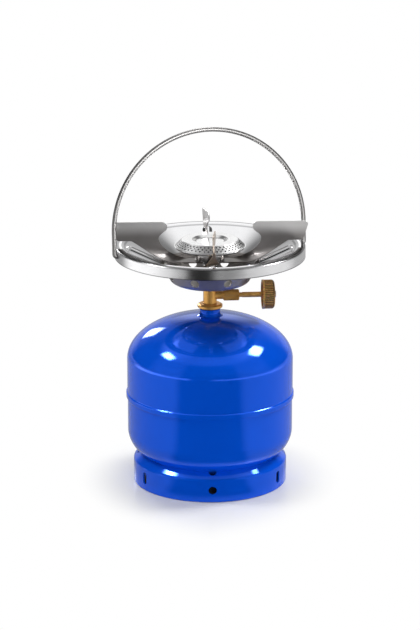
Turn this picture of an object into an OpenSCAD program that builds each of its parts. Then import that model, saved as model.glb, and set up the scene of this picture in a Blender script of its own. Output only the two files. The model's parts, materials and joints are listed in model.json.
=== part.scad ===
// Single-burner camping stove screwed on a squat refillable gas bottle.
// Origin: centre of the foot ring on the ground. +Z up along the bottle's axis, +X along the bail's pivots.

/* [Bottle] */
// Outer diameter of the bottle's upper half
bottle_d = 206; // [196:1:230]
// Thickness of the bottle's sheet steel
bottle_wall = 2.5; // [2:0.1:4]
// Height of the lower tangent line, where the straight wall starts
belly_z = 67; // [64:1:80]
// Height of the straight wall between the two heads
belly_h = 90; // [70:1:150]
// Height of each domed head
head_h = 56; // [50:1:60]
// Height of the seam above the lower tangent line
seam_rise = 47; // [25:1:60]
// Length of the upper half's lip that laps over the lower half
lip_h = 5.5; // [4:0.5:10]
// How far the lip stands out from the upper half
lip_out = 1.4; // [0.8:0.1:2]
// How much smaller in radius the lower half is
lap_step = 0.5; // [0.3:0.1:1]

/* [Foot ring] */
// Outer diameter of the foot ring
foot_d = 191; // [182:1:196]
// Thickness of the foot ring
foot_wall = 2.5; // [2:0.1:4]
// Height of the foot ring's straight wall
foot_h = 27; // [25:0.5:29]
// Outer radius of the bend between the foot ring's wall and its shoulder
foot_bend = 5; // [4:0.5:7]
// Slope of the foot ring's shoulder
shoulder_tilt = 45; // [42:1:50]
// Width of the flange turned in at the ground
foot_flange = 10; // [6:0.5:14]
// Diameter of the round vents
vent_d = 10; // [6:0.5:12]
// Height of the round vents above the ground
vent_z = 15.5; // [13:0.5:17]
// Width of the vertical slots
slot_w = 8; // [5:0.5:10]
// Height of the vertical slots
slot_h = 15.5; // [12:0.5:17]
// Diameter of the drain holes in the shoulder
drain_d = 9.5; // [5:0.5:11]
// Distance of the drain holes up the shoulder from its bend
drain_up = 9; // [7:0.5:10]
// Azimuth of the first vent
vent_turn = -104; // [-180:1:180]

/* [Neck] */
// Outer diameter of the welded neck boss
boss_d = 25.5; // [24:0.5:30]
// Height of the boss above the top of the dome
boss_rise = 8.5; // [6:0.5:14]
// Length of the boss below the top of the dome
boss_drop = 22; // [18:0.5:28]
// Width of the weld fillet around the boss
weld_w = 3.4; // [2:0.2:5]
// Diameter of the thread that the stove screws into
thread_d = 16; // [14:0.5:18]
// Depth of that thread
thread_depth = 14.5; // [13:0.5:16]
// Diameter of the check-valve insert
insert_d = 13; // [12:0.5:13.5]
// Thickness of the sealing washer under the stove
washer_t = 1; // [0.8:0.1:2]

/* [Valve] */
// Diameter of the brass flange
flange_d = 31; // [28:0.5:38]
// Thickness of the brass flange
flange_h = 5; // [4:0.5:6]
// Diameter of the brass column
column_d = 16.7; // [16:0.1:20]
// Height of the column above the flange
column_h = 25.5; // [22:0.5:30]
// Diameter of the threaded stub that carries the bowl
stub_d = 12; // [11:0.5:13]
// Height of the stub above the column
stub_h = 13; // [12:0.5:16]
// Height of the spindle axis above the flange's underside
spindle_rise = 15; // [14.5:0.5:17]
// Diameter of the branch that holds the spindle
branch_d = 10; // [9.6:0.2:11]
// Length of the cone where the branch leaves the column
branch_cone = 9; // [8:0.5:11]
// Length of the branch from the valve's axis
branch_l = 26; // [24:0.5:34]
// Diameter of the knurled bonnet
bonnet_d = 14; // [13.6:0.2:18]
// Length of the bonnet
bonnet_l = 19.5; // [17:0.5:26]
// Length of the branch that the bonnet covers
bonnet_lap = 9.5; // [7:0.5:10]
// Diameter of the spindle's shaft
spindle_d = 6.7; // [5:0.1:6.8]
// Diameter of the spindle's thread
screw_d = 7.4; // [7.2:0.1:8]
// Length of shaft in the open, from the bonnet to the knob
spindle_free = 28.5; // [20:0.5:60]
// Azimuth of the spindle, measured from the bail's pivots
valve_turn = -12; // [-30:1:30]
// Turns of the knob from closed to fully open
open_turns = 1.5; // [1:0.25:2]
// Travel of the spindle for one turn
screw_pitch = 1; // [0.75:0.05:1.25]
// Diameter of the knob
knob_d = 36; // [26:1:45]
// Length of the cup-shaped knob
knob_t = 15.3; // [13:0.1:18]
// Sheet thickness of the knob
knob_wall = 1.6; // [1.4:0.1:2]
// Number of serrations round the knob
knob_teeth = 44; // [30:1:60]

/* [Bowl] */
// Outer diameter of the bowl's rim
rim_d = 235; // [222:1:238]
// Height of the bowl from its underside to its rim
bowl_h = 49.5; // [48:0.5:54]
// Sheet thickness of the bowl
bowl_t = 1; // [0.8:0.1:1.2]
// Height of the skirt turned down at the rim
skirt_h = 14; // [12:0.5:20]
// Outer bend radius of the rim
rim_bend = 2.2; // [1.8:0.1:3]
// Width of the flat lip
lip_w = 8.5; // [6:0.5:12]
// Radius at the foot of the sloping dish
dish_r = 58; // [54:0.5:64]
// Height of the dish's foot above the bowl's underside
dish_rise = 25.5; // [24:0.5:28]
// Radius of the flat bottom
floor_r = 33; // [28:0.5:35]
// Diameter of the air holes in the cup's wall
air_d = 11; // [7:0.5:12]
// Number of air holes
air_count = 8; // [6:1:10]
// Width of the pressed ribs under the arms
rib_w = 12; // [9:0.5:13]
// Height of the pressed ribs
rib_h = 4; // [2:0.25:4.25]

/* [Pan supports] */
// Sheet thickness of the support strips
strip_t = 1.5; // [1.2:0.1:2]
// Width of the flat part of a strip
strip_w = 20; // [18:0.5:22]
// Height of the pan above the bowl's rim
pan_rise = 29; // [24:0.5:34]
// Height of the upright heads
pan_head_h = 24; // [18:0.5:26]
// Radius at the outer end of the lower strip's heads
pan_r = 120.5; // [108:0.5:121]
// Length of the lower strip's heads along the pan
pan_head_l = 68; // [60:0.5:74]
// Radius at the outer end of the upper strip's heads
short_r = 73; // [71:0.5:80]
// Length of the upper strip's heads along the pan
short_head_l = 31; // [29:0.5:33]
// How far the upper strip's heads are twisted past square
over_twist = 10; // [0:1:14]
// Azimuth of the lower strip
strip_turn = -14; // [-30:1:-8]
// Angle from the upper strip to the lower one
cross_turn = 87; // [84:1:96]

/* [Burner] */
// Diameter of the burner base's rim
burner_d = 88; // [80:1:94]
// Diameter of the burner base's body
burner_body_d = 36; // [32:1:40]
// Height of the burner's flat top above the bowl's rim
burner_rise = 7; // [5:0.5:12]
// Diameter of the flat top
burner_top_d = 69; // [64:1:72]
// Sheet thickness of the burner cap
cap_t = 1; // [0.8:0.1:1.2]
// Height of the perforated cone
cone_h = 8; // [7:0.5:9]
// Diameter of the gas ports
port_d = 2.1; // [1:0.1:2.2]
// Gas ports in each row
port_count = 48; // [24:1:52]
// Rows of gas ports
port_rows = 3; // [2:1:3]
// Outer diameter of the mixing tube
tube_d = 19; // [17:0.5:22]
// Diameter of the mixing tube where the strips sit
tube_neck_d = 14; // [13.5:0.1:14.5]
// Diameter of the air ports in the mixing tube
tube_port_d = 6; // [4:0.5:7]

/* [Bail] */
// Diameter of the bail's wire
wire_d = 5.5; // [4:0.1:6]
// Gap that the bail's legs keep from the skirt and from the pan supports
bail_gap = 0.5; // [0.4:0.1:3]
// Straight length of a leg above its pivot
leg_l = 28.5; // [27:0.5:50]
// Height of the pivots above the skirt's lower edge
pivot_rise = 7; // [5:0.5:8]
// Lean of the bail towards the front, below zero towards the back
bail_lean = -4; // [-20:1:20]

/* [Fits] */
// Radial clearance of turning pieces
running_fit = 0.05; // [0.02:0.01:0.1]
// Radial clearance of pieces screwed or slipped together
slip_fit = 0.05; // [0.02:0.01:0.1]

/* [Hidden] */
$fn = 96;

// Overlap that lets a cut pass cleanly through a face
cut = 1;
// Points along a quarter of a domed head, outside and inside
head_steps = 120;
inner_steps = 24;
// Small bevel on turned edges
bevel = 0.8;
// Points along the lip's taper
lip_steps = 8;

// Bottle
bottle_r = bottle_d / 2;
lower_r = bottle_r - lap_step;
crown_z = belly_z + belly_h;
seam_z = belly_z + seam_rise;
apex_z = crown_z + head_h;
lip_r = bottle_r + lip_out;
// Height over which the lip tapers back to the wall, and the bevel at its lower edge
lip_taper = 2.2;
lip_bevel = 0.4;

// Foot ring
foot_r = foot_d / 2;
foot_edge = 1.5;
// Centre of the bend below the shoulder, and length of the shoulder before the shell trims it
foot_bend_at = [foot_r - foot_bend, foot_h];
shoulder_l = 14;

// Neck
boss_r = boss_d / 2;
// How far the washer shows round the boss
washer_out = 0.6;
boss_z = apex_z + boss_rise;
boss_foot = apex_z - boss_drop;
thread_foot = boss_z - thread_depth;
insert_r = insert_d / 2;
// How far the insert stays back from both ends of its bore
insert_gap = 1;
insert_top = thread_foot - insert_gap;
insert_foot = boss_foot + insert_gap;
// Length of the insert's bore that guides the pin
guide_l = 4;
pin_r = 1.6;
disc_r = 4;
disc_t = 1.6;
spring_r = 3.2;
spring_wire_r = 0.4;
spring_turns = 4;
keeper_t = 1.2;
chamber_r = 4.8;
chamber_top = insert_top - guide_l;
// How far the stove's probe holds the disc off its seat, and the gas gap round the pin
disc_gap = 1.2;
pin_gap = 0.6;
disc_top = chamber_top - disc_gap;
spring_top = disc_top - disc_t;
keeper_top = insert_foot + keeper_t;

// Valve body
flange_z = boss_z + washer_t;
flange_r = flange_d / 2;
spindle_z = flange_z + spindle_rise;
column_z = flange_z + flange_h + column_h;
stub_r = stub_d / 2;
stub_z = column_z + stub_h;
spigot_r = thread_d / 2 - slip_fit;
// Depth of thread left free below the spigot, and of solid probe below its bore
thread_free = 2;
probe_free = 3;
spigot_l = thread_depth - thread_free;
probe_r = 1.1;
gas_r = 1.5;
passage_r = 1;
// Place where the gas enters the probe, and the riser that takes it to the valve's chamber
probe_z = thread_foot + probe_free;
inlet_z = flange_z + flange_h / 2;
branch_r = branch_d / 2;
screw_r = screw_d / 2;
inlet_x = screw_r + passage_r;
// Distance of the valve seat from the column's axis
seat_x = 2.5;
pad_t = 1.9;
pad_r = 3.2;
pad_pin_r = 1.4;
pad_pin_l = 1.1;
travel = open_turns * screw_pitch;
// Length of plain tip before the spindle's thread, and of branch kept past the thread when fully open
tip_l = 5;
branch_free = 1;
screw_start = seat_x + pad_t + tip_l;
screw_end = branch_l - travel - branch_free;
spindle_r = spindle_d / 2;
bonnet_r = bonnet_d / 2;
bonnet_x = branch_l - bonnet_lap;
bonnet_end = bonnet_x + bonnet_l;
bonnet_wall = 4.5;
knurl_depth = 0.35;
knurl_teeth = 36;
// Step in radius at the packing, on the bonnet's side and on the spindle's
packing_step = 0.4;
packing_r = branch_r - packing_step;
// Slimmer part of the spindle that runs through the packing, and how far it shows
shank_r = spindle_r - packing_step;
shank_free = 4;
knob_x = bonnet_end + spindle_free;
knob_r = knob_d / 2;
// Radius of the rounded edge on the knob's closed end
knob_edge = 4;
// Length and height of the smooth lip at the knob's open end
knob_lip = 2.5;
knob_lip_out = 0.3;
tooth_depth = 0.6;
knob_end_r = 2.6;
knob_hub_r = 5;
knob_end = knob_x + knob_t;
knob_plate_x = knob_end - knob_wall;
// How deep the hub lies in the knob's open end
knob_hub_in = 4;
knob_hub_x = knob_x + knob_hub_in;
screw_head_r = 4.2;
screw_head_h = 1.8;
screw_slot = 1;
screw_shank_r = 1.3;
screw_shank_l = 6;

// Bowl
rim_r = rim_d / 2;
rim_z = column_z + bowl_h;
dish_top_r = rim_r - lip_w;
dish_z = column_z + dish_rise;
floor_z = column_z + bowl_t;
dish_slope = atan2(rim_z - dish_z, dish_top_r - dish_r);
// Place of the air holes, as a share of the cup's wall from its top
air_place = 0.68;
// Taper of the cup's straight wall, and the height of the curve below it
cup_taper = 9;
cup_round = 6;
cup_low = [dish_r - cup_taper, floor_z + cup_round];
cup_tilt = atan2(dish_r - cup_low[0], dish_z - cup_low[1]);
air_r = dish_r - air_place * (dish_r - cup_low[0]);
air_z = dish_z - air_place * (dish_z - cup_low[1]);
rib_r = (pow(rib_w / 2, 2) + pow(rib_h, 2)) / (2 * rib_h);
// How far the ribs stay back from the lip and from the dish's foot
rib_outer_gap = 12;
rib_inner_gap = 2;
rib_outer = dish_top_r - rib_outer_gap;
rib_inner = dish_r + rib_inner_gap;
rim_steps = 12;
cup_steps = 16;
nut_h = 5;
nut_r = 11;

// Burner and supports
tube_r = tube_d / 2;
tube_neck_r = tube_neck_d / 2;
// Bore of the mixing tube above the jet, and the height of the cone that leads to it
throat_r = tube_neck_r - 1.4;
throat_h = 4;
tube_foot = floor_z + nut_h;
// Gap between the foot of the dish and the lower strip
strip_gap = 2.6;
strip_z = dish_z + strip_gap;
strip_top = strip_z + 2 * strip_t;
pan_z = rim_z + pan_rise;
// Upright heads: lower edge, rounded nose at the inner end, corner and heel at the outer end
head_z = pan_z - pan_head_h;
nose = 6.5;
corner = 4;
heel = 4;
heel_set = 5;
// Where each strip's two edges start to twist, how far its twist ends before its outer end,
// how far the neck lies behind the nose, how stiffly the edges bend and how far the outer one drops
pan_twist_in = 24;
pan_twist_out = 44;
pan_twist = [pan_twist_in, pan_twist_out];
pan_neck = 24;
short_twist_in = 20;
short_twist_out = 30;
short_twist = [short_twist_in, short_twist_out];
short_neck = 14;
neck_set = 4;
twist_pull = 14;
twist_drop = 9;
arm_steps = 28;
burner_z = rim_z + burner_rise;
burner_r = burner_d / 2;
burner_body_r = burner_body_d / 2;
cap_r = burner_r - 1;
cap_top_r = burner_top_d / 2;
cap_foot = burner_z - cone_h;
cap_skirt = 2;
// Sheet of the burner base, height of its sloping underside and gap above the mixing tube
base_wall = 1.5;
base_slope = 5;
mixing_gap = 4;
rim_foot = cap_foot - cap_skirt - cap_t;
tube_top = rim_foot - mixing_gap;
cone_tilt = atan2(cone_h, cap_r - cap_top_r);
cup_rim_r = 22;
cup_floor_r = 17;
cup_depth = 2.5;
jet_hex_h = 3.5;
jet_hex_r = 4.4;
jet_tip_h = 2.5;
jet_foot_r = 2.6;
jet_tip_r = 1.6;
jet_bore_r = 0.25;
jet_thread_r = 2.9;
jet_thread_l = 6;

// Bail
wire_r = wire_d / 2;
// Furthest place of a pan support along the bail's pivots
support_x = pan_r * cos(strip_turn) + strip_t / 2;
bail_x = max(rim_r, support_x) + bail_gap + wire_r;
pivot_z = rim_z - skirt_h + pivot_rise;
peen_t = 1.2;
peen_r = wire_r + 1;
peen_gap = 1;

// Points on an arc, from one angle to another
function arc(centre, radius, from, to, steps) =
    [for (i = [0 : steps]) let (a = from + (to - from) * i / steps)
        centre + radius * [cos(a), sin(a)]];

// Points on a quarter ellipse that starts at the widest radius
function dome(radius, height, z, last, steps = head_steps) =
    [for (i = [0 : steps]) let (a = last * i / steps) [radius * cos(a), z + height * sin(a)]];

// Height of a dome at a distance from its axis
function dome_height(radius, height, r) = height * sqrt(1 - pow(r / radius, 2));

function backwards(list) = [for (i = [len(list) - 1 : -1 : 0]) list[i]];

function unit(v) = v / norm(v);

// Point on a cubic curve with four control points
function cubic(p, u) =
    pow(1 - u, 3) * p[0] + 3 * pow(1 - u, 2) * u * p[1] + 3 * (1 - u) * u * u * p[2] + pow(u, 3) * p[3];

// Left-hand normal of a flat path at a point, lengthened where the path bends
function mitre(path, i) =
    let (before = unit(path[max(i, 1)] - path[max(i, 1) - 1]))
    let (after = unit(path[min(i, len(path) - 2) + 1] - path[min(i, len(path) - 2)]))
    let (across = unit([-before[1] - after[1], before[0] + after[0]]))
    across / (across * [-before[1], before[0]]);

// Outline of a bent sheet whose right-hand face follows a path
function sheet(path, thickness) =
    concat(path, [for (i = [len(path) - 1 : -1 : 0]) path[i] + thickness * mitre(path, i)]);

// Cylinder along +X from one distance to another
module bar(radius, from, to) {
    translate([from, 0, spindle_z]) rotate([0, 90, 0]) cylinder(r = radius, h = to - from);
}

// Serrated bar along +X, trimmed to a turned outline of distances and radii that starts and ends on its axis
module serrated_bar(radius, depth, teeth, from, outline) {
    length = outline[len(outline) - 1][1];
    translate([from, 0, spindle_z]) rotate([0, 90, 0])
        intersection() {
            linear_extrude(length)
                polygon([for (i = [0 : 2 * teeth - 1]) let (a = 180 * i / teeth)
                    (radius - (i % 2) * depth) * [cos(a), sin(a)]]);
            rotate_extrude() polygon(outline);
        }
}

module foot_profile() {
    shoulder_out = [cos(shoulder_tilt), sin(shoulder_tilt)];
    shoulder_end = foot_bend_at + shoulder_l * [-sin(shoulder_tilt), cos(shoulder_tilt)];
    polygon(concat(
        [[foot_r - foot_flange, 0]],
        arc([foot_r - foot_edge, foot_edge], foot_edge, -90, 0, 6),
        arc(foot_bend_at, foot_bend, 0, shoulder_tilt, 10),
        [shoulder_end + foot_bend * shoulder_out, shoulder_end + (foot_bend - foot_wall) * shoulder_out],
        arc(foot_bend_at, foot_bend - foot_wall, shoulder_tilt, 0, 10),
        [[foot_r - foot_wall, foot_wall], [foot_r - foot_flange, foot_wall]]));
}

module lower_head_solid() {
    rotate_extrude()
        polygon(concat([[0, belly_z]], [for (p = dome(lower_r, head_h, 0, 90)) [p[0], belly_z - p[1]]]));
}

module foot_ring() {
    color("royalblue")
    difference() {
        rotate_extrude() foot_profile();
        lower_head_solid();
        for (i = [0 : 2]) {
            rotate([0, 0, vent_turn + 120 * i]) translate([foot_r - foot_wall - cut, 0, vent_z])
                rotate([0, 90, 0]) cylinder(d = vent_d, h = foot_wall + 2 * cut);
            rotate([0, 0, vent_turn + 60 + 120 * i]) translate([foot_r - foot_wall - cut, 0, vent_z])
                rotate([0, 90, 0]) linear_extrude(foot_wall + 2 * cut) slot_outline();
        }
        for (i = [0 : 3])
            rotate([0, 0, vent_turn + 90 * i]) translate([foot_bend_at[0], 0, foot_bend_at[1]])
                rotate([0, 90 - shoulder_tilt, 0]) translate([-drain_up, 0, 0])
                    cylinder(d = drain_d, h = foot_bend + cut);
    }
}

module slot_outline() {
    run = (slot_h - slot_w) / 2;
    square([2 * run, slot_w], center = true);
    for (side = [-1, 1]) translate([side * run, 0]) circle(d = slot_w);
}

module lower_shell() {
    color("royalblue") rotate_extrude()
        polygon(concat(
            [[lower_r, seam_z]],
            [for (p = dome(lower_r, head_h, 0, 90)) [p[0], belly_z - p[1]]],
            [for (p = backwards(dome(lower_r - bottle_wall, head_h - bottle_wall, 0, 90, inner_steps)))
                [p[0], belly_z - p[1]]],
            [[lower_r - bottle_wall, seam_z]]));
}

module upper_shell() {
    inner_r = bottle_r - bottle_wall;
    hole_r = boss_r + slip_fit;
    lap_r = lower_r + slip_fit;
    color("royalblue") rotate_extrude()
        polygon(concat(
            [[lap_r, seam_z - lip_h], [lip_r - lip_bevel, seam_z - lip_h],
             [lip_r, seam_z - lip_h + 2 * lip_bevel]],
            [for (i = [0 : lip_steps]) cubic([[lip_r, seam_z], [lip_r, seam_z + lip_taper / 2],
                                              [bottle_r, seam_z + lip_taper / 2],
                                              [bottle_r, seam_z + lip_taper]], i / lip_steps)],
            dome(bottle_r, head_h, crown_z, acos(hole_r / bottle_r)),
            backwards(dome(inner_r, head_h - bottle_wall, crown_z, acos(hole_r / inner_r), inner_steps)),
            [[inner_r, seam_z], [lap_r, seam_z]]));
}

module neck_boss() {
    weld_r = boss_r + weld_w;
    weld_z = crown_z + dome_height(bottle_r, head_h, boss_r + slip_fit);
    weld_low = crown_z + dome_height(bottle_r, head_h, weld_r);
    color("royalblue") rotate_extrude()
        polygon([[insert_r, boss_foot], [boss_r, boss_foot], [boss_r, weld_z + slip_fit],
                 [weld_r, weld_low + slip_fit], [boss_r + weld_w / 3, weld_z + weld_w / 3],
                 [boss_r, weld_z + weld_w], [boss_r, boss_z - bevel], [boss_r - bevel, boss_z],
                 [thread_d / 2, boss_z], [thread_d / 2, thread_foot], [insert_r, thread_foot]]);
}

module check_valve() {
    color("darkgoldenrod") translate([0, 0, insert_foot]) difference() {
        cylinder(r = insert_r - slip_fit, h = insert_top - insert_foot);
        translate([0, 0, -cut]) cylinder(r = chamber_r, h = chamber_top - insert_foot + cut);
        cylinder(r = pin_r + pin_gap, h = insert_top - insert_foot + cut);
    }
}

module check_pin() {
    color("silver") translate([0, 0, keeper_top - keeper_t]) {
        cylinder(r = pin_r, h = thread_foot - insert_foot);
    }
}

module check_disc() {
    color("dimgray") translate([0, 0, spring_top]) difference() {
        cylinder(r = disc_r, h = disc_t);
        translate([0, 0, -cut]) cylinder(r = pin_r + slip_fit, h = disc_t + 2 * cut);
    }
}

// Closed tube swept round a helix about +Z
module helix(radius, wire, height, turns, rings, sides) {
    count = turns * rings;
    points = [for (i = [0 : count]) let (a = 360 * i / rings) for (k = [0 : sides - 1])
        let (b = -360 * k / sides)
        let (reach = radius + wire * cos(b))
        [reach * cos(a), reach * sin(a), height * i / count + wire * sin(b)]];
    walls = [for (i = [0 : count - 1]) for (k = [0 : sides - 1])
        let (p = i * sides + k, q = i * sides + (k + 1) % sides)
        each [[p, q, q + sides], [p, q + sides, p + sides]]];
    polyhedron(points, concat(
        walls,
        [[for (k = [sides - 1 : -1 : 0]) k], [for (k = [0 : sides - 1]) count * sides + k]]));
}

module check_spring() {
    color("silver") translate([0, 0, keeper_top + spring_wire_r])
        helix(spring_r, spring_wire_r, spring_top - keeper_top - 2 * spring_wire_r, spring_turns, 12, 6);
}

module spring_keeper() {
    color("silver") translate([0, 0, insert_foot]) difference() {
        cylinder(r = chamber_r - slip_fit, h = keeper_t);
        translate([0, 0, -cut]) cylinder(r = pin_r + slip_fit, h = keeper_t + 2 * cut);
    }
}

module neck_washer() {
    color("dimgray") translate([0, 0, boss_z]) difference() {
        cylinder(r = boss_r + washer_out, h = washer_t);
        translate([0, 0, -cut]) cylinder(r = thread_d / 2 + slip_fit, h = washer_t + 2 * cut);
    }
}

module valve_body() {
    flange_top = flange_z + flange_h;
    color("darkgoldenrod") rotate([0, 0, valve_turn]) difference() {
        union() {
            rotate_extrude()
                polygon([[0, flange_z - spigot_l], [spigot_r, flange_z - spigot_l], [spigot_r, flange_z],
                         [flange_r - bevel, flange_z], [flange_r, flange_z + bevel],
                         [flange_r, flange_top - 2 * bevel], [flange_r - 3 * bevel, flange_top],
                         [column_d / 2 + bevel, flange_top], [column_d / 2, flange_top + bevel],
                         [column_d / 2, column_z], [stub_r, column_z], [stub_r, stub_z - bevel],
                         [stub_r - bevel, stub_z], [0, stub_z]]);
            translate([0, 0, thread_foot]) cylinder(r = probe_r, h = thread_depth);
            bar(branch_r, 0, branch_l);
            translate([0, 0, spindle_z]) rotate([0, 90, 0])
                cylinder(r1 = column_d / 2, r2 = branch_r, h = branch_cone);
        }
        translate([0, 0, probe_z]) cylinder(r = gas_r / 2, h = inlet_z + passage_r - probe_z);
        translate([0, 0, inlet_z]) rotate([0, 90, 0]) cylinder(r = passage_r, h = inlet_x + passage_r);
        translate([inlet_x, 0, inlet_z]) cylinder(r = passage_r, h = spindle_z - inlet_z);
        bar(screw_r, seat_x, branch_l + cut);
        bar(passage_r, 0, seat_x + cut);
        translate([0, 0, spindle_z]) cylinder(r = gas_r, h = stub_z - spindle_z);
        translate([0, 0, stub_z - jet_thread_l]) cylinder(r = jet_thread_r, h = jet_thread_l + cut);
    }
}

module seat_pad() {
    color("dimgray") rotate([0, 0, valve_turn]) difference() {
        bar(pad_r, seat_x, seat_x + pad_t);
        bar(pad_pin_r + running_fit, seat_x + pad_t - pad_pin_l - running_fit, seat_x + pad_t + cut);
    }
}

module spindle() {
    pad_end = seat_x + pad_t;
    color("darkgoldenrod") rotate([0, 0, valve_turn]) difference() {
        union() {
            bar(pad_pin_r, pad_end - pad_pin_l, pad_end + pad_pin_l);
            bar(pad_r - pad_pin_r / 2, pad_end + running_fit, screw_start);
            bar(screw_r - running_fit, screw_start, screw_end);
            bar(shank_r, screw_end, bonnet_end + shank_free);
            bar(spindle_r, bonnet_end + shank_free, knob_hub_x);
            bar(knob_end_r, knob_hub_x, knob_plate_x);
        }
        bar(screw_shank_r + slip_fit, knob_end - screw_shank_l - cut, knob_end);
    }
}

module packing_ring() {
    color("dimgray") rotate([0, 0, valve_turn]) difference() {
        bar(packing_r - slip_fit, branch_l, bonnet_end - bonnet_wall);
        bar(shank_r + running_fit, branch_l - cut, bonnet_end - bonnet_wall + cut);
    }
}

module bonnet() {
    bevel = 1;
    clear_r = bonnet_r + cut;
    outline = [[0, 0], [bonnet_r - bevel, 0], [clear_r, bevel + cut], [clear_r, bonnet_l - bevel - cut],
               [bonnet_r - bevel, bonnet_l], [0, bonnet_l]];
    color("darkgoldenrod") rotate([0, 0, valve_turn]) difference() {
        serrated_bar(bonnet_r, knurl_depth, knurl_teeth, bonnet_x, outline);
        bar(branch_r + slip_fit, bonnet_x - cut, branch_l);
        bar(packing_r, bonnet_x, bonnet_end - bonnet_wall);
        bar(shank_r + running_fit, bonnet_x, bonnet_end + cut);
    }
}

module control_knob() {
    edge = arc([knob_r - knob_edge, knob_t - knob_edge], knob_edge, 20, 90, 6);
    outline = concat([[0, 0], [knob_r + cut, 0], [knob_r + cut, knob_t - knob_edge]], edge, [[0, knob_t]]);
    color("peru") rotate([0, 0, valve_turn]) difference() {
        union() {
            difference() {
                union() {
                    serrated_bar(knob_r, tooth_depth, knob_teeth, knob_x, outline);
                    bar(knob_r + knob_lip_out, knob_x, knob_x + knob_lip);
                }
                bar(knob_r - knob_wall - tooth_depth, knob_x - cut, knob_plate_x - knob_edge / 2);
                bar(knob_r - knob_edge, knob_x, knob_plate_x);
            }
            bar(knob_hub_r, knob_hub_x, knob_plate_x + knob_wall / 2);
        }
        bar(knob_end_r + slip_fit, knob_x, knob_plate_x);
        bar(screw_shank_r + slip_fit, knob_x, knob_end + cut);
    }
}

module knob_screw() {
    color("silver") rotate([0, 0, valve_turn]) difference() {
        union() {
            bar(screw_shank_r, knob_end - screw_shank_l, knob_end);
            bar(screw_head_r, knob_end, knob_end + screw_head_h);
        }
        translate([knob_end + screw_head_h, 0, spindle_z])
            cube([screw_head_h, screw_slot, 3 * screw_head_r], center = true);
    }
}

module gas_jet() {
    color("gold") difference() {
        union() {
            translate([0, 0, stub_z - jet_thread_l + bevel])
                cylinder(r = jet_thread_r - slip_fit, h = jet_thread_l);
            translate([0, 0, stub_z]) cylinder(r = jet_hex_r, h = jet_hex_h, $fn = 6);
            translate([0, 0, stub_z + jet_hex_h]) cylinder(r1 = jet_foot_r, r2 = jet_tip_r, h = jet_tip_h);
        }
        translate([0, 0, stub_z - jet_thread_l]) cylinder(r = passage_r, h = jet_thread_l + jet_hex_h);
        translate([0, 0, stub_z]) cylinder(r = jet_bore_r, h = jet_hex_h + jet_tip_h + cut);
    }
}

// Upper face of the bowl's sheet, from the skirt's edge to the central hole
function bowl_path() = concat(
    [[rim_r, rim_z - skirt_h]],
    arc([rim_r - rim_bend, rim_z - rim_bend], rim_bend, 0, 90, rim_steps),
    [[dish_top_r, rim_z], [dish_r, dish_z]],
    [for (i = [0 : cup_steps]) cubic([cup_low, cup_low - (cup_round - 1) * [sin(cup_tilt), cos(cup_tilt)],
                                      [floor_r + cup_round, floor_z], [floor_r, floor_z]], i / cup_steps)],
    [[stub_r + slip_fit, floor_z]]);

// Rounded bars that follow the dish under the arms
module rib_bars(radius) {
    sink = rib_r - rib_h;
    run = (rib_outer - rib_inner) / cos(dish_slope);
    for (i = [0 : 3]) rotate([0, 0, strip_turn + 90 * i])
        translate([rib_inner, 0, dish_z + (rib_inner - dish_r) * tan(dish_slope)])
            rotate([0, -dish_slope, 0]) translate([0, 0, -sink]) {
                rotate([0, 90, 0]) cylinder(r = radius, h = run);
                sphere(r = radius);
                translate([run, 0, 0]) sphere(r = radius);
            }
}

module bowl() {
    path = bowl_path();
    color("gainsboro") difference() {
        union() {
            rotate_extrude() polygon(sheet(path, bowl_t));
            intersection() {
                rib_bars(rib_r);
                rotate_extrude()
                    polygon([[dish_top_r, rim_z], [dish_r, dish_z], [floor_r, dish_z + bowl_t / 2],
                             [floor_r, rim_z + rib_r], [dish_top_r, rim_z + rib_r]]);
            }
        }
        rib_bars(rib_r - bowl_t);
        for (i = [0 : air_count - 1]) rotate([0, 0, strip_turn + (i + 0.5) * 360 / air_count])
            translate([air_r, 0, air_z]) rotate([0, 90 + cup_tilt, 0])
                cylinder(d = air_d, h = 8 * bowl_t, center = true);
        for (side = [0, 180]) rotate([0, 0, side]) translate([rim_r - 4 * bowl_t, 0, pivot_z])
            rotate([0, 90, 0]) cylinder(r = wire_r + running_fit, h = 6 * bowl_t);
    }
}

module bowl_nut() {
    color("silver") translate([0, 0, floor_z]) difference() {
        cylinder(r = nut_r, h = nut_h, $fn = 6);
        translate([0, 0, -cut]) cylinder(r = stub_r + slip_fit, h = nut_h + 2 * cut);
    }
}

module mixing_tube() {
    bore_r = stub_r + slip_fit;
    color("silver") difference() {
        rotate_extrude()
            polygon([[bore_r, tube_foot], [tube_r, tube_foot], [tube_r, strip_z], [tube_neck_r, strip_z],
                     [tube_neck_r, tube_top], [throat_r, tube_top], [throat_r, stub_z + jet_hex_h + throat_h],
                     [bore_r, stub_z + jet_hex_h]]);
        for (i = [0 : 1]) rotate([0, 0, strip_turn + 45 + 90 * i])
            translate([0, 0, stub_z + jet_hex_h + jet_tip_h + tube_port_d / 2]) rotate([0, 90, 0])
                cylinder(d = tube_port_d, h = 2 * tube_r + 2 * cut, center = true);
    }
}

// Point of an upright head whose plane is turned about its middle
function upright(p, middle, skew) = [p[0], (middle - p[0]) * tan(skew), p[1]];

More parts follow.
